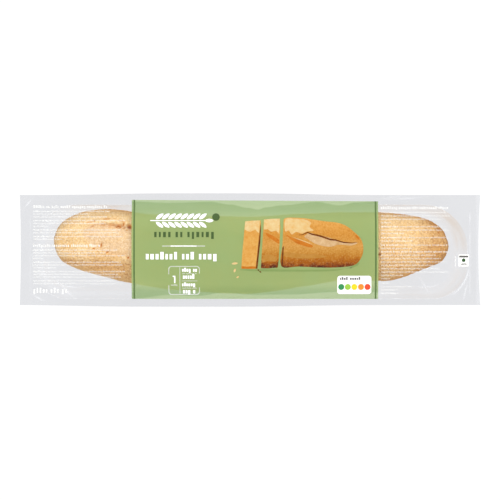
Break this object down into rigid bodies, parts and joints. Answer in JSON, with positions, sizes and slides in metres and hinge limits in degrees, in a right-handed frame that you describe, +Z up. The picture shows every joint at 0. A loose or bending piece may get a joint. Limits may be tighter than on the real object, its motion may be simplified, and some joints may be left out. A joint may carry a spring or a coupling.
{
  "type": "baguette in a sealed clear pack",
  "caption": "Part-baked white baguette lying in a sealed clear deep-drawn film pack with a printed lid.",
  "frame": {"origin": "middle of the pack's footprint, on the flat underside of the pocket that it rests on", "axes": "+X along the loaf, +Y across it towards the picture's upper edge, +Z up out of the printed lid"},
  "size_m": [0.4419, 0.1088, 0.0526],
  "materials": {
    "film": "clear glossy film",
    "crust": "pale baked crust with a fine dusting of flour",
    "print": "translucent green ink on film, with white ink"
  },
  "bodies": {
    "root": {"sealed_pack": "film"}
  },
  "joints": []
}
